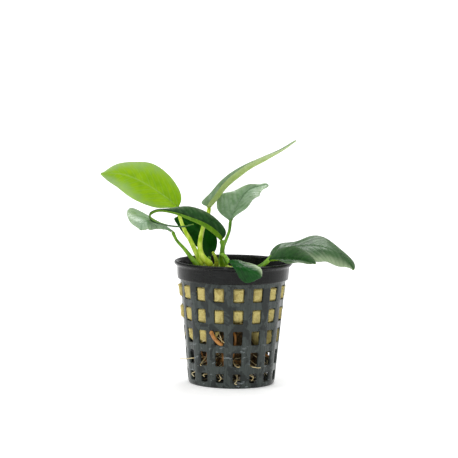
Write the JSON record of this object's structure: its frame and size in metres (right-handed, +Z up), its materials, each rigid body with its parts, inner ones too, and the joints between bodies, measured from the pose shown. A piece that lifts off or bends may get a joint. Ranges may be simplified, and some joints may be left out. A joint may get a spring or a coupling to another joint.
{
  "type": "young anubias in a net pot",
  "caption": "Young anubias plant with nine leaves on a short rhizome, rooted through a rock wool plug in a round tapered net pot with a plain collar and rows of square openings.",
  "frame": {"origin": "centre of the pot's flat foot, on the surface that it stands on", "axes": "+Z up along the pot's axis, -Y towards the front of the plant, +X to the right seen from the front"},
  "size_m": [0.1077, 0.0565, 0.103],
  "materials": {
    "pot_plastic": "black moulded polypropylene, semi-gloss, wiped and faintly streaked",
    "rock_wool": "damp fibrous mineral wool",
    "rhizome_skin": "smooth living rhizome with leaf scars",
    "leaf_young": "young leaf, thin, satin with veins",
    "leaf_mature": "mature leaf, leathery, glossy with veins",
    "petiole_pale": "smooth pale stalk",
    "petiole_green": "smooth green stalk",
    "root_brown": "smooth aerial root, orange brown"
  },
  "bodies": {
    "root": {"net_pot": "pot_plastic", "rock_wool": "rock_wool", "rhizome": "rhizome_skin", "cut_stub": "rhizome_skin", "leaf_lime_blade": "leaf_young", "leaf_lime_petiole": "petiole_pale", "leaf_left_low_blade": "leaf_mature", "leaf_left_low_petiole": "petiole_green", "leaf_tall_blade": "leaf_mature", "leaf_tall_petiole": "petiole_pale", "leaf_right_up_blade": "leaf_mature", "leaf_right_up_petiole": "petiole_green", "leaf_arching_blade": "leaf_mature", "leaf_arching_petiole": "petiole_green", "leaf_behind_blade": "leaf_mature", "leaf_behind_petiole": "petiole_green", "leaf_front_blade": "leaf_mature", "leaf_front_petiole": "petiole_green", "leaf_right_long_blade": "leaf_mature", "leaf_right_long_petiole": "petiole_green", "leaf_right_under_blade": "leaf_mature", "leaf_right_under_petiole": "petiole_green", "root_1": "root_brown", "root_2": "root_brown", "root_3": "root_brown", "root_4": "root_brown", "root_5": "root_brown", "root_6": "root_brown", "root_7": "root_brown"}
  },
  "joints": []
}
